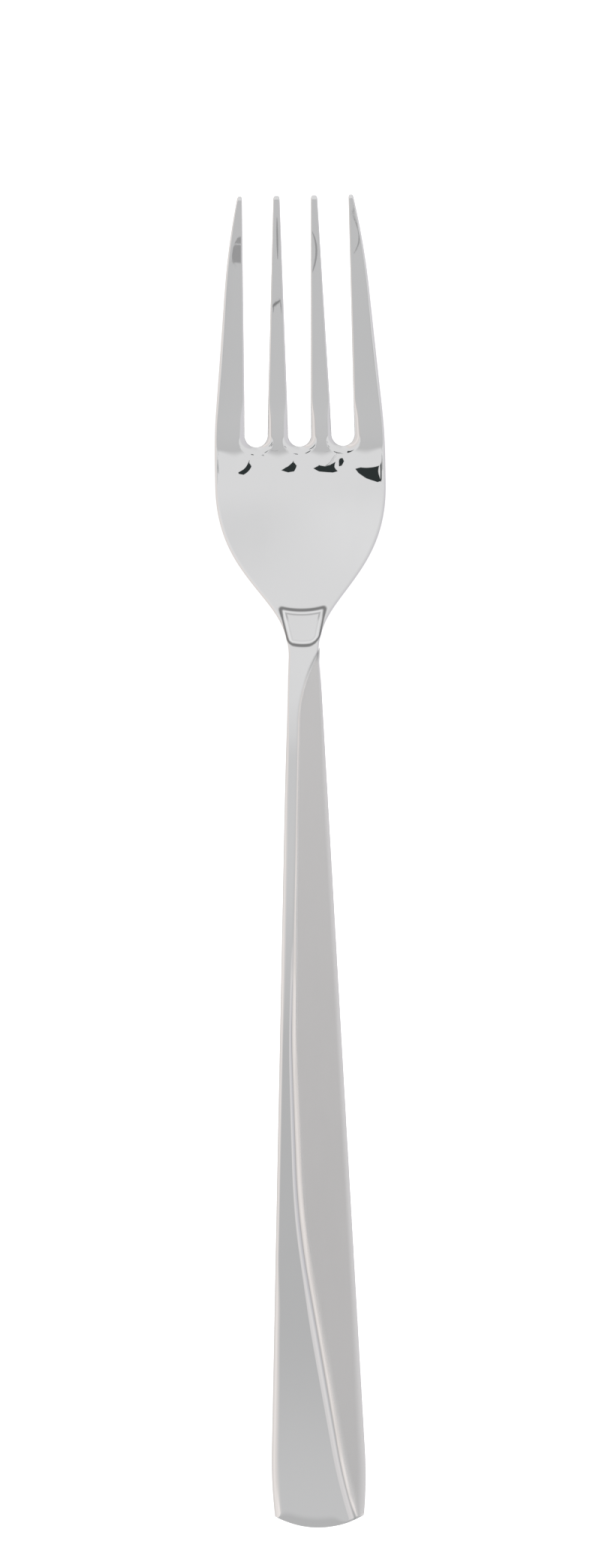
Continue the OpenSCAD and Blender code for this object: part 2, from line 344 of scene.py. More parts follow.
def slotHalf(y):  # half a slot's width, growing evenly towards the points
    return mix(head["slotRoot"], head["slotTip"], share(slotY, tipY, y)) / 2


neckSweepY = jointY - 10
neckSweep = (head["neckWidth"] - handle["stripWidth"] - handle["neckGap"]) / (jointY - neckSweepY)**2


def swept(s, turn):  # a parabola that runs on as a straight line
    return np.where(s < turn, np.maximum(0, s)**2 / (2 * turn), s - turn / 2)


def firstSweep(y):  # how far the groove's first turn has taken it from the flank
    return handle["firstSlope"] * swept(handle["firstTurnY"] - y, handle["firstTurn"])


endStrip = 2 * handleSide(endY) - handle["endGap"]
endRun = swept(handle["endTurnY"] - endY, handle["endTurn"])
endSlope = (endStrip - handle["stripWidth"] - firstSweep(endY)) / endRun


def grooveX(y):  # the groove's path: the left flank plus three sweeps, to the neck and to the end's corner
    neckPart = neckSweep * np.maximum(0, y - neckSweepY)**2
    endPart = endSlope * swept(handle["endTurnY"] - y, handle["endTurn"])
    return handle["stripWidth"] + neckPart + firstSweep(y) + endPart - handleSide(y)


def padDistance(x, y):  # distance inside the neck's outline, a four-sided figure with round corners
    p = padLine
    half = mix(p["lowHalf"], p["topHalf"], (y - p["lowY"]) / (p["topY"] - p["lowY"]))
    side = (half - np.abs(x)) * p["lean"]
    upper = p["topY"] + p["topBow"] * (x / p["topHalf"])**2 - y
    lower = y - p["lowY"] - p["lowBow"] * (x / p["lowHalf"])**2
    end = np.minimum(upper, lower)
    lowCorner = np.where(x < 0, *p["lowCorners"])
    corner = mix(lowCorner, p["topCorner"], eased(share(p["lowY"], p["topY"], y)))
    a, b = corner - side, corner - end
    outside = np.hypot(np.maximum(a, 0), np.maximum(b, 0)) + np.minimum(np.maximum(a, b), 0)
    return corner - outside


def bell(d, width, power=2):  # one at nought, falling off smoothly over the width
    return np.exp(-np.abs(d / width)**power)


def onPanel(table, y, most):  # a width from a table, kept within a share of the panel's width
    return np.minimum(along(table, y), most * np.maximum(handle["panelLeast"], handleSide(y) - grooveX(y)))


def coreHeight(x, y):  # the middle line, plus a dish that grows with the square of x
    return middleHeight(y) + along(dishTable, y) * (x / headHalf)**2


def grooveFall(x, y):  # fall of the strip, and the groove's sides as powers of a ramp, below the face
    groove = x - grooveX(y)
    slope = handle["stripSlope"] * eased(share(*handle["stripFrom"], jointY - y))
    slope = slope * (1 - handle["stripEase"] * share(handle["stripEaseY"], -tipY, y))
    strip = np.maximum(0, grooveX(y) + handleSide(y) - handle["stripEdge"])
    fall = slope * np.clip(x + handleSide(y) - handle["stripEdge"], 0, strip)
    leftNotch = np.clip(1 + groove / along(leftReachTable, y), 0, 1)**2
    rightReach = onPanel(rightReachTable, y, handle["rightMost"])
    rightNotch = np.clip(1 - groove / rightReach, 0, 1)**along(rightPowerTable, y)
    depth = along(depthTable, y)
    leftDepth = depth * mix(handle["leftLeast"], 1, eased(share(*handle["leftSideY"], y)))
    rightDepth = slope * strip + depth
    below = np.where(groove < 0, fall + depth - leftDepth * (1 - leftNotch), rightDepth * rightNotch)
    return np.where(y < jointY + handle["runOut"], below, 0)


def faceHeight(x, y):  # the upper face before its edges are rounded
    z = coreHeight(x, y) + along(thicknessTable, y) / 2
    rootShare = eased(share(slotBottomY - head["crownLength"], slotBottomY, y))
    z = z - head["crown"] * rootShare * np.cos(2 * np.pi * x / slotAxis(1, y))
    z = z - grooveFall(x, y)
    return z - padLine["depth"] * bell(padDistance(x, y), padLine["width"])


def sideDistance(x, y):  # distance to the long sides, square to them
    step = 0.05
    tilt = (flank(y + step) - flank(y - step)) / (2 * step)
    return (flank(y) - np.abs(x)) / np.sqrt(1 + tilt**2)


def slotDistance(x, y):  # distance to the nearest slot: its flank, or its round bottom
    k = np.clip(np.round(x / slotAxis(1, y)), -1, 1)
    beside = np.abs(x - slotAxis(k, y)) - slotHalf(y)
    bottom = np.hypot(x - k * head["pitchRoot"], np.maximum(0, slotY - y)) - slotRadius
    return np.where(y > slotY, beside, bottom)


def noseDistance(x, y):  # distance to the round end
    radius = handle["endRadius"]
    return np.where(y < noseY, radius - np.hypot(x, y + tipY - radius), noLimit)


def rollShare(x, y):  # size of the end's roll: whole in the middle, small at the corners
    fromLeft = eased(share(*handle["leftCorner"], flank(y) + x))
    fromRight = eased(share(*handle["rightCorner"], flank(y) - x))
    return mix(handle["cornerRoll"], 1, fromLeft * fromRight)


def rightShare(x, y):  # one on the handle's right flank, easing to nought at the neck
    return np.where(x > 0, eased(share(0, handle["rightFrom"], jointY - y)), 0)


def sideWidth(x, y):  # width of the rounded edge, with its own table on the handle's right flank
    return mix(along(sideWidthTable, y), along(rightWidthTable, y), rightShare(x, y))


def ellipseDrop(d, width, height):  # quarter ellipse: nothing at d = width, the whole height at the rim
    u = np.clip(1 - d / width, 0, 1)
    return height * (1 - np.sqrt(1 - u * u))


def rollDrop(d, width, height):  # a parabola: level at d = width, steepest at the rim
    return height * np.clip(1 - d / width, 0, 1)**2


def edgeDrop(x, y, widthLimit):  # how far the rounded edges lie below the upper face
    d = sideDistance(x, y)
    width = np.minimum(sideWidth(x, y), widthLimit)
    height = np.minimum(along(sideHeightTable, y), edges["topMost"] * along(thicknessTable, y))
    height = mix(height, np.minimum(height, handle["rightDrop"]), rightShare(x, y))
    flat = share(*edges["rollFrom"], jointY - y)
    side = mix(ellipseDrop(d, width, height), rollDrop(d, width, height), flat)
    slotWidth = np.minimum(along(slotWidthTable, y), widthLimit)
    slot = ellipseDrop(slotDistance(x, y), slotWidth, along(slotHeightTable, y))
    roll = rollShare(x, y)
    end = rollDrop(noseDistance(x, y), handle["endRoll"] * roll, handle["endDrop"] * roll)
    return np.maximum(np.maximum(side, np.where(y > palmStartY, slot, 0)), end)


def underDrop(x, y, widthLimit):  # the same underneath, with smaller radii
    width = np.minimum(edges["underWidth"], widthLimit)
    height = np.minimum(edges["underHeight"], edges["underMost"] * along(thicknessTable, y))
    d = sideDistance(x, y)
    d = np.where(y > palmStartY, np.minimum(d, slotDistance(x, y)), d)
    return ellipseDrop(np.minimum(d, noseDistance(x, y)), width, height)


def pointScale(y):  # the blunt points close over their last stretch
    return np.sqrt(1 - edges["pointClose"] * share(tipY - head["pointLength"], tipY, y)**2)


def topAndUnder(x, y, widthLimit=noLimit):  # heights of the finished upper and lower skins
    core = coreHeight(x, y)
    top = faceHeight(x, y) - edgeDrop(x, y, widthLimit) - core
    under = along(thicknessTable, y) / 2 - underDrop(x, y, widthLimit)
    lower = np.where(y < tableY, np.maximum(core - under, 0), core - under * pointScale(y))
    return core + top * pointScale(y), lower


skinPoints = []
skinMarks = []


def paintedOutlineShade(x, y):  # painted shade and highlight on the neck: two dark bells of painted shade and a pale one of painted highlight across the outline
    p = padLine
    pad = padDistance(x, y)
    up = y - (p["topY"] + p["lowY"]) / 2
    darkWidth = mix(*p["darkWidth"], eased(share(*p["endFrom"], np.abs(up))))
    inner = mix(*p["inner"], eased(share(*p["innerFrom"], up)))
    dark = bell(pad - p["darkAt"], darkWidth, p["flatTop"])
    dark = dark - p["pale"] * bell(pad - p["paleAt"], p["paleWidth"])
    return dark + inner * bell(pad - p["innerAt"], p["innerWidth"], p["flatTop"])


def paintedGrooveShade(x, y):  # painted shade in the groove: a bell across it, and a wedge where the panel starts
    right = x - grooveX(y)
    grown = eased(share(*handle["wedgeY"], y - jointY))
    wedge = np.where(right > handle["wedgeEdge"], handle["wedge"] * grown, 0)
    return np.maximum(along(grooveShadeTable, y) * bell(right, handle["grooveShadeWidth"]), wedge)


def satinMark(x, y):  # how satin the face is: from the groove on, less in the round edge and the end's roll
    inEdge = mix(handle["rightSatin"], 1, eased(share(0, 1, sideDistance(x, y) / sideWidth(x, y))))
    roll = handle["endRoll"] * rollShare(x, y)
    inEnd = eased(share(*handle["endSatin"], noseDistance(x, y) / roll))
    startMost, fullMost = handle["satinMost"]
    start, full = onPanel(satinStartTable, y, startMost), onPanel(satinEndTable, y, fullMost)
    return eased(share(start, full, x - grooveX(y))) * inEdge * inEnd


def keepGrid(x, y, z, marked):  # keeps a grid of points and their marks, and returns their numbers
    x, y, z = np.broadcast_arrays(x, y, z)
    start = sum(map(len, skinPoints))
    skinPoints.append(np.stack([x, y, z], -1).reshape(-1, 3))
    onHandle = np.where(y < jointY + handle["markTop"], 1.0, 0.0)
    gridMarks = np.stack([paintedOutlineShade(x, y), paintedGrooveShade(x, y) * onHandle, satinMark(x, y) * onHandle], -1)
    skinMarks.append(gridMarks.reshape(-1, 3) * (1.0 if marked else 0.0))
    return np.arange(start, start + z.size).reshape(z.shape)


def upFaces(index):  # quads between neighbours of an index grid, facing up
    return np.stack([index[:-1, :-1], index[:-1, 1:], index[1:, 1:], index[1:, :-1]], -1).reshape(-1, 4)


def downFaces(index):  # the same, facing down
    return upFaces(index)[:, ::-1]


def leftWall(top, under):  # quads between an upper and a lower edge, facing left
    return np.stack([top[:-1], top[1:], under[1:], under[:-1]], -1)


def rightWall(top, under):  # the same, facing right
    return leftWall(top, under)[:, ::-1]


def nearCap(top, under):  # closes a row on the side of the handle's end
    return np.stack([top[:-1], under[:-1], under[1:], top[1:]], -1)


def farCap(top, under):  # and on the side of the points
    return nearCap(top, under)[:, ::-1]


skinFaces = {}
innerFaces = {}
ghostFaces = []


def give(faceLists, node, *faces):  # adds faces to a node's list
    faceLists.setdefault(node, []).extend(faces)


# The head: four side-by-side grids that run from the neck to the points, joined below the slots.
headGrid = {                # rows of each stretch
    "neck": 105, "palm": 89, "root": 20, "round": 24, "tine": 60, "point": 10,
    "rootLength": 1.6,      # stretch below the slots whose rows close up
    "columns": 36,          # of each quarter
}
ghost = 0.15                # a row this far beyond a cut gives the skin its slope there


def quarterTurn(steps):  # angles up to a right angle
    return np.linspace(0, np.pi / 2, steps + 1)[1:]


rootStartY = slotBottomY - headGrid["rootLength"]
headY = np.concatenate([
    [jointY - ghost],
    np.linspace(jointY, palmStartY, headGrid["neck"] + 1),
    np.linspace(palmStartY, rootStartY, headGrid["palm"] + 1)[1:],
    mix(rootStartY, slotBottomY, np.sin(quarterTurn(headGrid["root"]))),
    slotY - slotRadius * np.cos(quarterTurn(headGrid["round"])),
    np.linspace(slotY, tipY - head["pointLength"], headGrid["tine"] + 1)[1:],
    tipY - head["pointLength"] * np.cos(quarterTurn(headGrid["point"])),
])[:, None]
neckRow = 1
palmRow = neckRow + headGrid["neck"]
bottomRow = palmRow + headGrid["palm"] + headGrid["root"]
tineRow = bottomRow + headGrid["round"]
columnShare = (1 - np.cos(np.linspace(0, np.pi, headGrid["columns"] + 1))) / 2  # closer together at the edges


def quarterEdges(i, y):  # left and right edge of the head's i-th quarter: outline, slot, or a seam below it
    full = outline(y)
    seamShare = head["pitchRoot"] / outline(np.array(slotBottomY))
    sides = []
    for k, inward in ((i - 2, 1), (i - 1, -1)):
        opening = np.sqrt(np.maximum(0, slotRadius**2 - np.maximum(0, slotY - y)**2))
        opening = np.where(y > slotY, slotHalf(y), np.where(y > slotBottomY, opening, 0))
        axis = np.where(y > slotBottomY, slotAxis(k, y), k * seamShare * full)
        sides.append(np.sign(k) * full if abs(k) == 2 else axis + inward * opening)
    left, right = sides
    middle, half = (left + right) / 2, (right - left) / 2 * pointScale(y)
    return middle - half, middle + half


def buildHead():  # each quarter's columns run from edge to edge
    onNeck, onPalm = slice(neckRow, palmRow + 1), slice(palmRow, tineRow + 1)
    onTine, beyond = slice(tineRow, None), slice(0, neckRow + 1)
    for i, tine in enumerate(["tine_1", "tine_2", "tine_3", "tine_4"]):
        left, right = quarterEdges(i, headY)
        x = mix(left, right, columnShare)
        limit = np.where(headY > slotY, edges["tineMost"] * (right - left), noLimit)
        topZ, underZ = topAndUnder(x, headY, limit)
        top, under = keepGrid(x, headY, topZ, True), keepGrid(x, headY, underZ, False)
        for node, rows in (("neck", onNeck), ("palm", onPalm), (tine, onTine)):
            give(skinFaces, node, upFaces(top[rows]), downFaces(under[rows]))
        give(skinFaces, tine, leftWall(top[onTine, 0], under[onTine, 0]))
        give(skinFaces, tine, rightWall(top[onTine, -1], under[onTine, -1]), farCap(top[-1], under[-1]))
        for node, row in ((tine, tineRow), ("palm", palmRow), ("neck", neckRow)):
            give(innerFaces, node, nearCap(top[row], under[row]))
        for node, row in (("palm", tineRow), ("neck", palmRow)):
            give(innerFaces, node, farCap(top[row], under[row]))
        ghostFaces.extend([upFaces(top[beyond]), downFaces(under[beyond])])
        for wall, column, outer in ((leftWall, 0, i == 0), (rightWall, -1, i == 3)):
            upper, lower = top[:, column], under[:, column]
            first = palmRow if outer else bottomRow
            give(skinFaces, "palm", wall(upper[first:tineRow + 1], lower[first:tineRow + 1]))
            if outer:
                give(skinFaces, "neck", wall(upper[onNeck], lower[onNeck]))
                ghostFaces.append(wall(upper[beyond], lower[beyond]))


buildHead()
print("head surfaces ready")

# The handle: the polished bar left of the groove with the panel's seat, and the satin panel right of it.
handleGrid = {
    "roll": 40, "sweep": 133, "straight": 60, "neck": 60,   # rows of each stretch
    "nose": 64,
    "strip": [16, 18, 20],  # columns of the left edge, the strip and the groove's left side
    "panel": [1, 20, 18, 16],   # of the groove's line and right side, the panel and the right edge
    "edgeSpare": 1.05,      # columns reach a little past the edge and the groove's side
    "sideSpare": 1.1,
    "edgeMost": 0.5,        # shares of the strip or panel that these take at most
    "sideMost": 0.4,
    "line": 0.05,
    "lineMost": 0.2,
    "grooveMost": 0.985,    # share of the half width that the groove reaches at most
    "noseLeast": 0.02,      # half width left at the very end
}
handleY = np.concatenate([
    [endY - ghost],
    np.linspace(endY, noseY, handleGrid["roll"] + 1),
    np.linspace(noseY, handle["firstTurnY"], handleGrid["sweep"] + 1)[1:],
    np.linspace(handle["firstTurnY"], neckSweepY, handleGrid["straight"] + 1)[1:],
    np.linspace(neckSweepY, jointY, handleGrid["neck"] + 1)[1:],
    [jointY + ghost],
])[:, None]


def knotColumns(distances, counts):  # x for each row, evenly spread between the given distances
    pieces = [mix(a, b, np.arange(n) / n) for a, b, n in zip(distances[:-1], distances[1:], counts)]
    return np.concatenate(pieces + [distances[-1]], axis=1)


def faceColumns(y, half):  # columns left and right of the groove, closer together at edges and groove
    g = handleGrid
    groove = np.minimum(grooveX(y), g["grooveMost"] * half)
    strip, panel = groove + half, half - groove
    leftEdge = np.minimum(g["edgeSpare"] * along(sideWidthTable, y), g["edgeMost"] * strip)
    rightEdge = np.minimum(g["edgeSpare"] * along(rightWidthTable, y), g["edgeMost"] * panel)
    leftNotch = np.minimum(g["sideSpare"] * along(leftReachTable, y), g["sideMost"] * strip)
    rightNotch = np.minimum(onPanel(rightReachTable, y, handle["rightMost"]), g["edgeMost"] * panel)
    line = np.minimum(g["line"], g["lineMost"] * rightNotch)
    onStrip = [-half, -half + leftEdge, groove - leftNotch, groove]
    onSatin = [groove, groove + line, groove + rightNotch, half - rightEdge, half]
    return knotColumns(onStrip, g["strip"]), knotColumns(onSatin, g["panel"])


def sideWalls(top, under):  # both walls of a grid
    return [leftWall(top[:, 0], under[:, 0]), rightWall(top[:, -1], under[:, -1])]


def buildHandle():  # the panel lies on a floor at its depth, which is also the bar's upper face there
    y = handleY
    xStrip, xPanel = faceColumns(y, outline(y))
    xSeat = xPanel[:, 1:]
    seatZ = middleHeight(y) + along(thicknessTable, y) / 2 - handle["panelDepth"]
    seatZ = np.broadcast_to(seatZ, xSeat.shape)
    topStrip, _ = topAndUnder(xStrip, y)
    topPanel, _ = topAndUnder(xPanel, y)
    xBar = np.concatenate([xStrip, xSeat], axis=1)
    topBar = np.concatenate([topStrip, seatZ], axis=1)
    _, underBar = topAndUnder(xBar, y)
    underPanel = np.concatenate([topPanel[:, :1], seatZ], axis=1)
    stripEnd = xStrip.shape[1]
    top, under = keepGrid(xBar, y, topBar, True), keepGrid(xBar, y, underBar, False)
    panelTop, panelUnder = keepGrid(xPanel, y, topPanel, True), keepGrid(xPanel, y, underPanel, True)
    body = slice(1, -1)
    give(skinFaces, "handle", upFaces(top[body, :stripEnd]), downFaces(under[body]))
    give(skinFaces, "handle", *sideWalls(top[body], under[body]))
    give(innerFaces, "handle", upFaces(top[body, stripEnd - 1:]))
    give(innerFaces, "handle", nearCap(top[1], under[1]), farCap(top[-2], under[-2]))
    give(skinFaces, "satin_panel", upFaces(panelTop[body]))
    give(skinFaces, "satin_panel", rightWall(panelTop[body, -1], panelUnder[body, -1]))
    give(innerFaces, "satin_panel", downFaces(panelUnder[body]))
    give(innerFaces, "satin_panel", nearCap(panelTop[1], panelUnder[1]))
    give(innerFaces, "satin_panel", farCap(panelTop[-2], panelUnder[-2]))
    for rows in (slice(0, 2), slice(-2, None)):
        ghostFaces.extend([upFaces(top[rows, :stripEnd]), upFaces(panelTop[rows]), downFaces(under[rows])])
        ghostFaces.extend(sideWalls(top[rows], under[rows]))
        ghostFaces.append(rightWall(panelTop[rows, -1], panelUnder[rows, -1]))


buildHandle()
print("handle surfaces ready")


def buildNose():  # the round nose: columns close up as the outline's arc draws in
    turn = np.linspace(np.pi / 2, 0, handleGrid["nose"] + 1)
    y = np.concatenate([mix(endY, -tipY, np.sin(turn)), [endY + ghost]])[:, None]
    xStrip, xPanel = faceColumns(y, np.maximum(outline(y), handleGrid["noseLeast"]))
    x = np.concatenate([xStrip, xPanel[:, 1:]], axis=1)
    topZ, underZ = topAndUnder(x, y)
    top, under = keepGrid(x, y, topZ, True), keepGrid(x, y, underZ, False)
    body, rows = slice(0, -1), slice(-2, None)
    give(skinFaces, "handle_end", upFaces(top[body]), downFaces(under[body]), nearCap(top[0], under[0]))
    give(skinFaces, "handle_end", *sideWalls(top[body], under[body]))
    give(innerFaces, "handle_end", farCap(top[-2], under[-2]))
    ghostFaces.extend([upFaces(top[rows]), downFaces(under[rows]), *sideWalls(top[rows], under[rows])])


buildNose()
print("nose surfaces ready")

# Points that fall together become one, so that the skins' normals run on from piece to piece.
weldDigits = 4
tiny = 1e-12                # least length that a vector is divided by
allPoints = np.concatenate(skinPoints)
allMarks = np.concatenate(skinMarks)
rounded = np.round(allPoints, weldDigits)
_, firstOf, weldOf = np.unique(rounded, axis=0, return_index=True, return_inverse=True)
weldOf = weldOf.reshape(-1)
points, marks = allPoints[firstOf], allMarks[firstOf]


def unit(vectors):  # each vector over its length
    return vectors / np.maximum(np.linalg.norm(vectors, axis=-1, keepdims=True), tiny)


def faceNormals(faces):  # cross product of the diagonals: twice the area long
    a, b, c, d = (points[faces[:, k]] for k in range(4))
    return np.cross(c - a, d - b)


everySkin = weldOf[np.concatenate([part for faces in skinFaces.values() for part in faces] + ghostFaces)]
pointNormals = np.zeros_like(points)
for k in range(4):
    np.add.at(pointNormals, everySkin[:, k], faceNormals(everySkin))
pointNormals = unit(pointNormals)


def cleaned(faces):  # quads without folded ones, and triangles where two neighbouring corners are one
    same = faces == np.roll(faces, -1, axis=1)
    quads = faces[same.sum(1) == 0]
    triangles = [np.delete(faces[(same.sum(1) == 1) & same[:, k]], k, axis=1) for k in range(4)]
    return quads, np.concatenate(triangles)


def makePiece(name, node, material):  # skin faces take the whole skin's normals, cuts their own
    polygons, loopNormals = [], []
    for faceLists, isSkin in ((skinFaces, True), (innerFaces, False)):
        for part in cleaned(weldOf[np.concatenate(faceLists[node])]):
            a, b, c = (points[part[:, k]] for k in range(3))
            flat = unit(np.cross(b - a, c - a))
            corners = pointNormals[part] if isSkin else np.repeat(flat[:, None], part.shape[1], axis=1)
            polygons.append(part)
            loopNormals.append(corners.reshape(-1, 3))
    numbers = np.unique(np.concatenate([part.reshape(-1) for part in polygons]))
    lookup = np.zeros(len(points), dtype=int)
    lookup[numbers] = np.arange(len(numbers))
    faces = [face for part in polygons for face in lookup[part].tolist()]
    mesh = bpy.data.meshes.new(name)
    mesh.from_pydata((points[numbers] / 1000).tolist(), [], faces)
    mesh.polygons.foreach_set("use_smooth", np.ones(len(mesh.polygons), dtype=bool))
    for k, markName in enumerate(("outlineShadeLine", "grooveShadeLine", "satinFace")):
        attribute = mesh.attributes.new(markName, "FLOAT", "POINT")
        attribute.data.foreach_set("value", np.ascontiguousarray(marks[numbers, k], dtype=np.float32))
    mesh.normals_split_custom_set(np.concatenate(loopNormals).tolist())
    piece = bpy.data.objects.new(name, mesh)
    bpy.context.scene.collection.objects.link(piece)
    mesh.materials.append(material)
    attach(piece, "root")
    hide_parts(node)


# Materials: two steels that share their effects as node groups.


def newGroup(name, inputs, outputs):  # a node group with named value sockets
    group = bpy.data.node_groups.new(name, "ShaderNodeTree")
    for socketName, value in inputs.items():
        socket = group.interface.new_socket(socketName, in_out="INPUT", socket_type="NodeSocketFloat")
        socket.default_value = value
    for socketName in outputs:
        group.interface.new_socket(socketName, in_out="OUTPUT", socket_type="NodeSocketFloat")
    return group, group.nodes.new("NodeGroupInput"), group.nodes.new("NodeGroupOutput")


def addMath(tree, operation, *values):  # a maths node: each value is a number or a socket
    node = tree.nodes.new("ShaderNodeMath")
    node.operation = operation
    for socket, value in zip(node.inputs, values):
        if isinstance(value, (int, float)):
            socket.default_value = value
        else:
            tree.links.new(value, socket)
    return node.outputs[0]


def addRange(tree, value, low, high, toLow=0.0, toHigh=1.0):  # smooth step, level below low and above high
    node = tree.nodes.new("ShaderNodeMapRange")
    node.interpolation_type = "SMOOTHSTEP"
    tree.links.new(value, node.inputs["Value"])
    limits = {"From Min": low, "From Max": high, "To Min": toLow, "To Max": toHigh}
    for socketName, number in limits.items():
        node.inputs[socketName].default_value = number
    return node.outputs[0]


def stretchedNoise(tree, scale, detail):  # noise on Object coordinates, drawn out by the scale of each axis
    coordinate = tree.nodes.new("ShaderNodeTexCoord")
    mapping = tree.nodes.new("ShaderNodeMapping")
    mapping.inputs["Scale"].default_value = scale
    noise = tree.nodes.new("ShaderNodeTexNoise")
    noise.inputs["Scale"].default_value = 1.0
    noise.inputs["Detail"].default_value = detail
    tree.links.new(coordinate.outputs["Object"], mapping.inputs["Vector"])
    tree.links.new(mapping.outputs["Vector"], noise.inputs["Vector"])
    return noise.outputs["Fac"]


def addMark(tree, markName):  # a mark kept with the points
    mark = tree.nodes.new("ShaderNodeAttribute")
    mark.attribute_name = markName
    return mark.outputs["Fac"]


grain = {                   # noises: scale across, along and through the fork, per metre, and detail
    "fine": ((7000, 45, 7000), 2.0),
    "broad": ((1500, 18, 1500), 2.0),
    "fineShare": 0.6,
    "streak": (0.35, 0.65), # noise values between which each of these sets in
    "smudge": ((140, 60, 140), 4.0),
    "smudgeFrom": (0.5, 0.72),
    "scratch": ((2600, 160, 2600), 3.0),
    "scratchFrom": (0.66, 0.72),
}


def makeBrushLines():  # fine lines along the fork, made of two stretched noises
    tree, given, made = newGroup("brushLines", {"Strength": 1.0}, ["Height", "Streak"])
    fine = addMath(tree, "MULTIPLY", stretchedNoise(tree, *grain["fine"]), grain["fineShare"])
    broad = addMath(tree, "MULTIPLY", stretchedNoise(tree, *grain["broad"]), 1 - grain["fineShare"])
    both = addMath(tree, "ADD", fine, broad)
    centred = addMath(tree, "SUBTRACT", both, 0.5)
    tree.links.new(addMath(tree, "MULTIPLY", centred, given.outputs["Strength"]), made.inputs["Height"])
    tree.links.new(addRange(tree, both, *grain["streak"]), made.inputs["Streak"])
    return tree


def makeHandlingMarks():  # faint smudges from wiping, and hairline scratches
    tree, given, made = newGroup("handlingMarks", {"Amount": 1.0}, ["Smudge", "Scratch"])
    cloud = addRange(tree, stretchedNoise(tree, *grain["smudge"]), *grain["smudgeFrom"])
    scratch = addRange(tree, stretchedNoise(tree, *grain["scratch"]), *grain["scratchFrom"])
    tree.links.new(addMath(tree, "MULTIPLY", cloud, given.outputs["Amount"]), made.inputs["Smudge"])
    tree.links.new(addMath(tree, "MULTIPLY", scratch, given.outputs["Amount"]), made.inputs["Scratch"])
    return tree


def makePaintedLineShade():  # painted shade and highlight along the pressed outline, and painted shade in the groove, from the marks on the points
    tree, given, made = newGroup("paintedLineShade", {"Outline": 0.6, "Groove": 0.3}, ["Dark"])
    parts = []
    for markName, socketName in (("outlineShadeLine", "Outline"), ("grooveShadeLine", "Groove")):
        parts.append(addMath(tree, "MULTIPLY", addMark(tree, markName), given.outputs[socketName]))
    total = addMath(tree, "MINIMUM", addMath(tree, "ADD", *parts), 1.0)
    tree.links.new(total, made.inputs["Dark"])
    return tree


brushLines, handlingMarks, paintedLineShade = makeBrushLines(), makeHandlingMarks(), makePaintedLineShade()

polished = {
    "colour": (0.70, 0.70, 0.705, 1),
    "rough": 0.008,
    "lines": 0.03,          # strength of the brushed lines
    "marks": 0.4,           # of smudges and scratches
    "outline": 0.7,         # strength of the painted shade and highlight on the neck's outline
    "groove": 0.25,         # and of the painted shade in the groove
}
satin = {
    "colour": (0.612, 0.612, 0.613, 1),
    # its outline and groove set the strength of the painted shade lines, as above
    "rough": 0.55, "lines": 1.0, "marks": 0.4, "outline": 0.0, "groove": 0.25,
}
wear = {                    # how much lines, smudges and scratches change either finish
    "lineDark": 0.03, "lineRough": 0.06,
    "smudgeDark": 0.03, "smudgeRough": 0.01,
    "scratchRough": 0.02,
    "bump": 0.08,
    "bumpHeight": 0.00002,  # metres
}


def addColourMix(tree, blend, factor, first, second):  # each colour is a value or a socket
    node = tree.nodes.new("ShaderNodeMix")
    node.data_type = "RGBA"
    node.blend_type = blend
    sockets = (node.inputs["Factor"], node.inputs[6], node.inputs[7])   # the last two are its colours
    for socket, value in zip(sockets, (factor, first, second)):
        if isinstance(value, (int, float, tuple)):
            socket.default_value = value
        else:
            tree.links.new(value, socket)
    return node.outputs[2]


def makeSteel(name, finish):  # one finish, turning into the other where the mark says so
    material = bpy.data.materials.new(name)
    material.use_nodes = True
    tree = material.node_tree
    shader = tree.nodes["Principled BSDF"]
    shader.inputs["Metallic"].default_value = 1.0

    def place(group, **values):  # puts a group into this material with its own values
        node = tree.nodes.new("ShaderNodeGroup")
        node.node_tree = group
        for socketName, value in values.items():
            node.inputs[socketName].default_value = value
        return node.outputs

    lines = place(brushLines, Strength=finish["lines"])
    handling = place(handlingMarks, Amount=finish["marks"])
    # painted shade and highlight of the outline and groove lines
    pressed = place(paintedLineShade, Outline=finish["outline"], Groove=finish["groove"])
    lineDark = wear["lineDark"] * finish["lines"]
    streak = addMath(tree, "MULTIPLY_ADD", lines["Streak"], lineDark, 1 - lineDark / 2)
    # base colour: the brushed streaks, darkened by the painted shade lines and lightened by the painted
    # highlight, less the smudges
    streakAndShade = addMath(tree, "MULTIPLY", streak, addMath(tree, "SUBTRACT", 1.0, pressed["Dark"]))
    smudge = addMath(tree, "MULTIPLY", handling["Smudge"], wear["smudgeDark"])
    shade = addMath(tree, "SUBTRACT", streakAndShade, smudge)
    satinShare = addMark(tree, "satinFace")
    plain = addColourMix(tree, "MIX", satinShare, polished["colour"], satin["colour"])
    tree.links.new(addColourMix(tree, "MULTIPLY", 1.0, plain, shade), shader.inputs["Base Color"])
    rough = addMath(tree, "MULTIPLY_ADD", satinShare, satin["rough"] - polished["rough"], polished["rough"])
    rough = addMath(tree, "MULTIPLY_ADD", lines["Streak"], wear["lineRough"] * finish["lines"], rough)
    rough = addMath(tree, "MULTIPLY_ADD", handling["Smudge"], wear["smudgeRough"], rough)
    rough = addMath(tree, "MULTIPLY_ADD", handling["Scratch"], wear["scratchRough"], rough)
    tree.links.new(rough, shader.inputs["Roughness"])
    bump = tree.nodes.new("ShaderNodeBump")
    bump.inputs["Strength"].default_value = wear["bump"]
    bump.inputs["Distance"].default_value = wear["bumpHeight"]
    tree.links.new(lines["Height"], bump.inputs["Height"])
    tree.links.new(bump.outputs["Normal"], shader.inputs["Normal"])
    return material


polishedSteel = makeSteel("polishedSteel", polished)
satinSteel = makeSteel("satinSteel", satin)
print("materials ready")

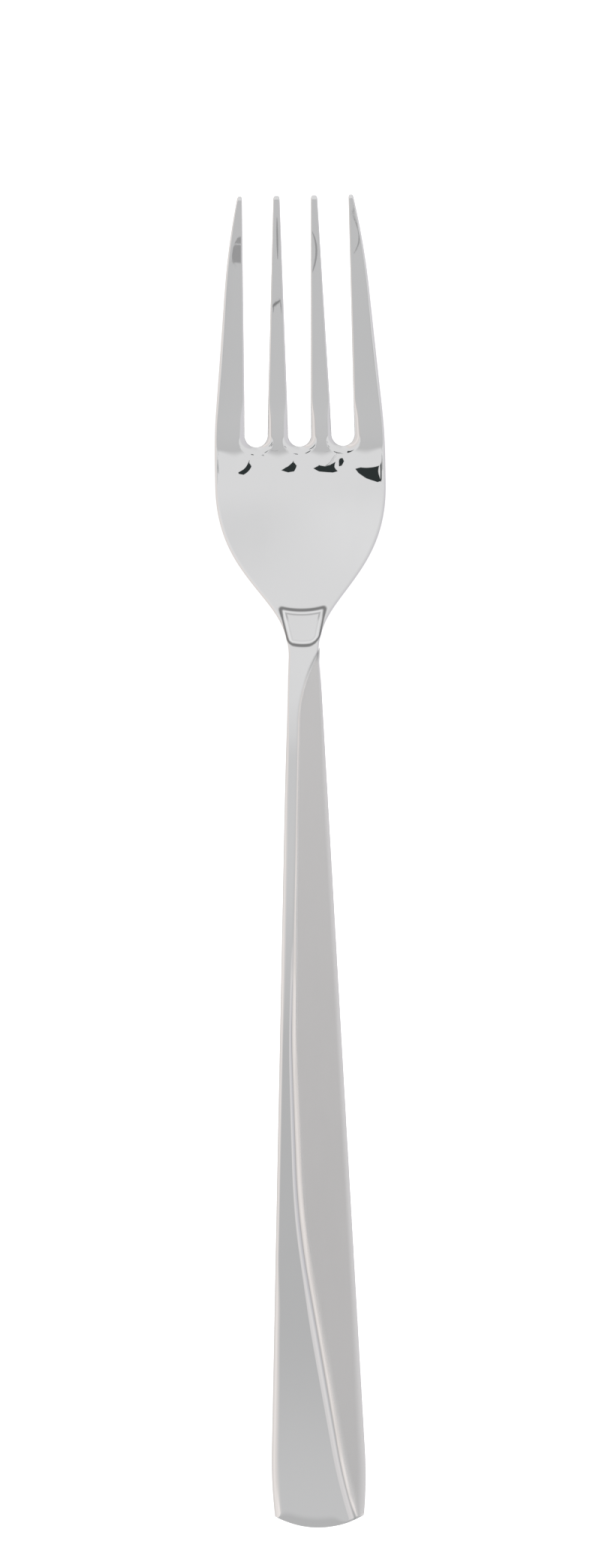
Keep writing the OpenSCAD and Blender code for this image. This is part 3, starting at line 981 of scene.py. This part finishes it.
for pieceName, node in (
    ("tineFirst", "tine_1"), ("tineSecond", "tine_2"), ("tineThird", "tine_3"), ("tineFourth", "tine_4"),
    ("palmPlate", "palm"), ("neckPad", "neck"), ("handleBar", "handle"), ("handleNose", "handle_end"),
):
    makePiece(pieceName, node, polishedSteel)
makePiece("satinFace", "satin_panel", satinSteel)

# Camera, floor and light

camera = {                  # straight above the fork
    "height": 1600.0,
    "centreX": -0.3,
    "centreY": 12.35,
    "turn": -1.05,          # degrees
    "frameHeight": 241.6,   # length of the picture at the fork's face
    "faceHeight": 5.0,
    "seesTo": 50.0,         # metres
}
lens = bpy.data.cameras.new("photoCamera")
lens.lens = lens.sensor_width * (camera["height"] - camera["faceHeight"]) / camera["frameHeight"]
lens.clip_end = camera["seesTo"]
photoCamera = bpy.data.objects.new("photoCamera", lens)
photoCamera.location = (camera["centreX"] / 1000, camera["centreY"] / 1000, camera["height"] / 1000)
photoCamera.rotation_euler = (0, 0, math.radians(camera["turn"]))
bpy.context.scene.collection.objects.link(photoCamera)
bpy.context.scene.camera = photoCamera
bpy.context.scene.view_settings.view_transform = "Standard"

floor = {
    "size": 8.0,            # metres
    "drop": 0.00005,        # just below the fork's rest
    "glow": 0.75,
    "colour": (0.8, 0.8, 0.8, 1),
}
black, white = (0, 0, 0, 1), (1, 1, 1, 1)


def makeStageMaterial(name, colour, glow, glowColour=white):  # a matt surface with its own light
    material = bpy.data.materials.new(name)
    material.use_nodes = True
    shader = material.node_tree.nodes["Principled BSDF"]
    shader.inputs["Base Color"].default_value = colour
    shader.inputs["Roughness"].default_value = 1.0
    shader.inputs["Specular IOR Level"].default_value = 0.0
    shader.inputs["Emission Color"].default_value = glowColour
    shader.inputs["Emission Strength"].default_value = glow
    return material


def makeStage(name, corners, faces, material):  # a flat thing of the studio, in metres
    mesh = bpy.data.meshes.new(name)
    mesh.from_pydata([tuple(corner) for corner in corners], [], faces)
    mesh.materials.append(material)
    thing = bpy.data.objects.new(name, mesh)
    bpy.context.scene.collection.objects.link(thing)
    return thing


reach = floor["size"] / 2
floorCorners = [(-reach, -reach), (reach, -reach), (reach, reach), (-reach, reach)]
paleFloor = makeStageMaterial("paleFloor", floor["colour"], floor["glow"])
makeStage("floor", [(x, y, -floor["drop"]) for x, y in floorCorners], [(0, 1, 2, 3)], paleFloor)

light = {                   # brightness, and parts of the direction between which it changes
    "plain": 0.97,          # room all round
    "front": (0.70, 0.76),  # darker beyond the handle's end: near and far
    "frontFrom": (-0.46, -0.48),
    "frontSide": (0.4, 0.6),
    "frontFar": (-0.47, -0.58),
    "leftBand": 0.14,       # brighter band on the left
    "bandFrom": (-0.5, -0.64),
    "bandTo": (-0.68, -0.78),
    "right": -0.10,
    "rightFrom": (0.4, 0.6),
    "back": (0.05, -0.11),  # beyond the points: on the left, and the change to the right
    "backFrom": (-0.2, 0.85),
    "backSide": (-0.15, 0.15),
    "cream": (-0.05, -0.08),    # on the left: change of green and blue
    "creamFrom": (-0.3, -0.5),
    "lavender": (-0.015, -0.03),    # on the right: change of red and green
    "lavenderFrom": (0.4, 0.7),
}


def makeRoom():  # brightness by direction: smooth steps on the direction's parts
    world = bpy.data.worlds.new("room")
    bpy.context.scene.world = world
    world.use_nodes = True
    tree = world.node_tree
    coordinate = tree.nodes.new("ShaderNodeTexCoord")
    split = tree.nodes.new("ShaderNodeSeparateXYZ")
    tree.links.new(coordinate.outputs["Generated"], split.inputs[0])
    x, y = split.outputs[0], split.outputs[1]
    side = addMath(tree, "ABSOLUTE", x)
    ahead = addRange(tree, y, *light["frontFrom"])
    inFront = addMath(tree, "MULTIPLY", ahead, addRange(tree, side, *light["frontSide"], 1.0, 0.0))
    frontLevel = addRange(tree, y, *light["frontFar"], *light["front"])
    onRight = addRange(tree, x, *light["rightFrom"])
    level = addMath(tree, "MULTIPLY_ADD", onRight, light["right"], light["plain"])
    pastBand = addRange(tree, x, *light["bandTo"], 1.0, 0.0)
    band = addMath(tree, "MULTIPLY", addRange(tree, x, *light["bandFrom"]), pastBand)
    level = addMath(tree, "MULTIPLY_ADD", band, light["leftBand"], level)
    step = addMath(tree, "MULTIPLY", inFront, addMath(tree, "SUBTRACT", frontLevel, level))
    level = addMath(tree, "ADD", level, step)
    backLeft, backChange = light["back"]
    backStep = addMath(tree, "MULTIPLY_ADD", addRange(tree, x, *light["backSide"]), backChange, backLeft)
    level = addMath(tree, "MULTIPLY_ADD", addRange(tree, y, *light["backFrom"]), backStep, level)
    tree.links.new(level, tree.nodes["Background"].inputs["Strength"])
    cream, lavender = addRange(tree, x, *light["creamFrom"]), addRange(tree, x, *light["lavenderFrom"])
    colour = tree.nodes.new("ShaderNodeCombineColor")
    red = addMath(tree, "MULTIPLY_ADD", lavender, light["lavender"][0], 1.0)
    green = addMath(tree, "MULTIPLY_ADD", cream, light["cream"][0], 1.0)
    green = addMath(tree, "MULTIPLY_ADD", lavender, light["lavender"][1], green)
    blue = addMath(tree, "MULTIPLY_ADD", cream, light["cream"][1], 1.0)
    for socket, part in zip(colour.inputs, (red, green, blue)):
        tree.links.new(part, socket)
    tree.links.new(colour.outputs[0], tree.nodes["Background"].inputs["Color"])


makeRoom()

# Dark flags that only the steel sees. Each hangs where its image covers these places, x and y, on the face.
flags = {
    "rootHeight": 900.0,    # of the flags seen at the tine roots
    "tineHeight": 480.0,    # and in the tines
    "black": 0.045,         # brightness of the first ones
    "blackColour": (0.8, 1, 1, 1),
    "roots": [
        [(-9.55, 60.6), (-8.4, 61.35), (-8.0, 62.0), (-7.5, 61.5), (-8.15, 60.6), (-8.75, 60.2),
         (-9.5, 60.35)],
        [(-2.95, 60.8), (-2.25, 61.2), (-1.4, 61.8), (-0.95, 62.4), (-0.55, 61.45), (-0.95, 60.6),
         (-1.9, 60.45)],
        [(2.05, 61.0), (2.95, 61.45), (5.45, 61.9), (5.8, 60.5), (5.0, 60.3), (2.95, 60.5)],
        [(6.05, 62.4), (6.5, 62.55), (6.8, 61.95), (6.4, 61.3), (6.0, 61.2)],
        [(8.5, 60.8), (9.35, 61.0), (12.2, 61.2), (12.4, 58.85), (11.9, 58.7), (10.2, 59.3), (9.0, 60.15)],
    ],
    "grey": 0.44,           # brightness of the patches seen in the first tine
    "patches": [
        [(-8.4, 96.4), (-8.96, 96.2), (-9.35, 95.55), (-9.42, 95.33), (-8.4, 95.33)],
        [(-8.38, 95.13), (-9.5, 95.13), (-9.66, 94.7), (-9.85, 93.6), (-9.85, 92.8), (-9.66, 92.4),
         (-8.4, 92.45)],
    ],
    "strokeSteps": 24,
    "strokeEnd": 0.35,      # share of a stroke's width left at its ends
    "strokes": [            # thin ones: width, brightness, places along a smooth curve
        (0.28, 0.43, [(-2.86, 92.9), (-2.86, 99.1)]),
        (0.4, 0.25, [(-3.68, 85.65), (-3.35, 86.12), (-2.95, 86.4), (-2.55, 86.72)]),
        (0.16, 0.45, [(-3.66, 84.9), (-3.6, 85.85)]),
        (0.18, 0.47, [(-2.4, 84.6), (-2.5, 85.8), (-2.6, 86.6)]),
        (0.3, 0.43, [(2.32, 90.6), (2.74, 91.8), (3.08, 93.85), (2.95, 95.6), (2.47, 97.0)]),
        (0.24, 0.43, [
            (8.79, 93.55), (9.4, 94.4), (9.65, 95.96), (9.42, 97.7), (8.84, 99.05), (8.21, 100.0)]),
    ],
}


def stroke(width, places):  # outline of a band along a cubic fitted to the places, narrower at its ends
    x, y = np.array(places).T
    yFine = np.linspace(y[0], y[-1], flags["strokeSteps"])
    xFine = np.polyval(np.polyfit(y, x, min(3, len(x) - 1)), yFine)
    middle = np.stack([xFine, yFine], -1)
    normal = unit(np.gradient(middle, axis=0))[:, ::-1] * (1, -1)
    swell = np.sin(np.linspace(0, np.pi, flags["strokeSteps"]))
    half = width / 2 * mix(flags["strokeEnd"], 1, swell)[:, None]
    return np.concatenate([middle + normal * half, (middle - normal * half)[::-1]])


def mirrored(places, height):  # where the camera's view of these places, mirrored there, reaches a height
    x, y = np.array(places).T
    step = 0.02
    z = faceHeight(x, y)
    slopeX = (faceHeight(x + step, y) - faceHeight(x - step, y)) / (2 * step)
    slopeY = (faceHeight(x, y + step) - faceHeight(x, y - step)) / (2 * step)
    normal = unit(np.stack([-slopeX, -slopeY, np.ones_like(x)], -1))
    start = np.stack([x, y, z], -1)
    ray = unit(start - np.array(photoCamera.location) * 1000)
    ray -= 2 * np.sum(ray * normal, axis=1, keepdims=True) * normal
    return start + ray * ((height - z) / ray[:, 2])[:, None]


def onlyMirrored(thing):  # hides a flag or card from the camera and the floor
    thing.visible_camera = False
    thing.visible_diffuse = False
    thing.visible_shadow = False


def hangFlag(name, places, height, material):  # a flat flag whose reflection covers the places
    corners = mirrored(places, height) / 1000
    onlyMirrored(makeStage(name, corners, [tuple(range(len(corners)))], material))


blackCloth = makeStageMaterial("blackCloth", black, flags["black"], flags["blackColour"])
for number, places in enumerate(flags["roots"], 1):
    hangFlag("rootFlag%d" % number, places, flags["rootHeight"], blackCloth)
patchCloth = makeStageMaterial("patchCloth", black, flags["grey"])
for number, places in enumerate(flags["patches"], 1):
    hangFlag("patchFlag%d" % number, places, flags["tineHeight"], patchCloth)
for number, (width, glow, places) in enumerate(flags["strokes"], 1):
    greyCloth = makeStageMaterial("greyCloth%d" % number, black, glow)
    hangFlag("tineFlag%d" % number, stroke(width, places), flags["tineHeight"], greyCloth)

card = {                    # grey card over the handle, which only the steel sees
    "height": 60.0, "left": -42.0, "right": 36.0, "near": -120.0, "far": 16.0,
    "frontSide": 110.0,     # half width of its wider part beyond the handle's end
    "frontNear": -300.0,
    "beside": (-4.0, 6.0),  # from its near edge, between which the part over the handle starts
    "fade": 28.0,           # over which its left side turns as bright as the room
    "grooveY": (-59.0, -102.0), # between which its right part follows the groove
    "grooveX": (-3.0, 4.9), # from here to there
    "paleFrom": (4.0, 9.0), # pale part, right of the groove
    "paleDrop": -0.06,      # its brightness beside the room's
    "paleColour": (1, 0.975, 0.97, 1),
    "whiteFrom": (17.0, 23.0),
    "glow": 0.2,            # brighter left part, seen beside the groove's end
    "glowFrom": (-26.0, -36.0),
    "glowY": (-101.0, -108.0),
    "warmColour": (1, 0.95, 0.92, 1),   # of its left part
    "slantFrom": -65.0,     # its left edge slants outwards from here to its near edge
    "slant": 7.0,
    "steps": [              # from y, to y, change of brightness
        (14, 5, -0.175), (-10, -42, -0.155), (-72, -106, 0.115), (-110, -160, -0.12)],
}


def makeCard():  # its brightness is the room's plus smooth steps along the handle and across it
    left, right, near, far, side = (card[key] for key in ("left", "right", "near", "far", "frontSide"))
    overHandle = [
        (left - card["slant"], near), (right, near), (right, far), (left, far), (left, card["slantFrom"])]
    beyondEnd = [(-side, card["frontNear"]), (side, card["frontNear"]), (side, near), (-side, near)]
    corners = [(x, y, card["height"]) for x, y in overHandle + beyondEnd]
    material = makeStageMaterial("greyCard", black, 1.0)
    tree = material.node_tree
    coordinate = tree.nodes.new("ShaderNodeTexCoord")
    split = tree.nodes.new("ShaderNodeSeparateXYZ")
    tree.links.new(coordinate.outputs["Object"], split.inputs[0])
    x, y = split.outputs[0], split.outputs[1]

    def between(value, start, end, *levels):  # a smooth step between two places in millimetres
        return addRange(tree, value, start / 1000, end / 1000, *levels)

    def times(*factors):  # product of two values
        return addMath(tree, "MULTIPLY", *factors)

    def without(part):  # one less a share
        return addMath(tree, "SUBTRACT", 1.0, part)

    change = 0.0
    for start, end, step in card["steps"]:
        change = addMath(tree, "ADD", change, between(y, start, end, 0.0, step))
    beside = between(y, *(near + spare for spare in card["beside"]))
    fade = times(between(x, left + card["fade"], left), beside)
    change = times(change, without(fade))
    follow = between(y, *card["grooveY"], *(place / 1000 for place in card["grooveX"]))
    across = addMath(tree, "SUBTRACT", x, follow)
    pale, whiter = (times(beside, between(across, *card[key])) for key in ("paleFrom", "whiteFrom"))
    change = times(change, without(pale))
    change = addMath(tree, "MULTIPLY_ADD", addMath(tree, "SUBTRACT", pale, whiter), card["paleDrop"], change)
    glow = times(beside, times(between(x, *card["glowFrom"]), between(y, *card["glowY"])))
    change = addMath(tree, "MULTIPLY_ADD", glow, card["glow"], change)
    shader = tree.nodes["Principled BSDF"]
    tree.links.new(addMath(tree, "ADD", change, light["plain"]), shader.inputs["Emission Strength"])
    warm = addColourMix(tree, "MIX", fade, white, card["warmColour"])
    tint = addColourMix(tree, "MIX", pale, warm, card["paleColour"])
    tree.links.new(tint, shader.inputs["Emission Color"])
    faces = [(0, 1, 2, 3, 4), (5, 6, 7, 8)]
    onlyMirrored(makeStage("greyCard", np.array(corners) / 1000, faces, material))


makeCard()
print("camera, floor and light ready")
